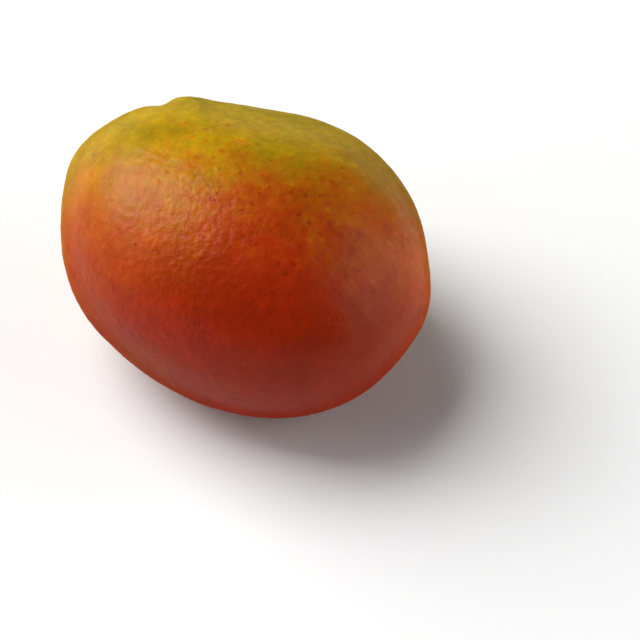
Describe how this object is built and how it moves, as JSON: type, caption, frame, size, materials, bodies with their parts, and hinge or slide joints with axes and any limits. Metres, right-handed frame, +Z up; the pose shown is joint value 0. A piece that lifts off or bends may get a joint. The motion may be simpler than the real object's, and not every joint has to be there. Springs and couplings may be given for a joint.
{
  "type": "mango",
  "caption": "Whole ripe mango lying on one cheek: broad shoulders, an off-centre stem hollow with a crease, a flatter belly side and a small blunt beak.",
  "frame": {"origin": "middle of the footprint box, on the floor that the fruit rests on", "axes": "+Z up, +Y along the fruit towards its stem end, +X towards its belly edge"},
  "size_m": [0.1018, 0.1208, 0.082],
  "materials": {
    "mango_skin": "waxy satin, red and orange body with a green and yellow cap"
  },
  "bodies": {
    "root": {"mango": "mango_skin"}
  },
  "joints": []
}
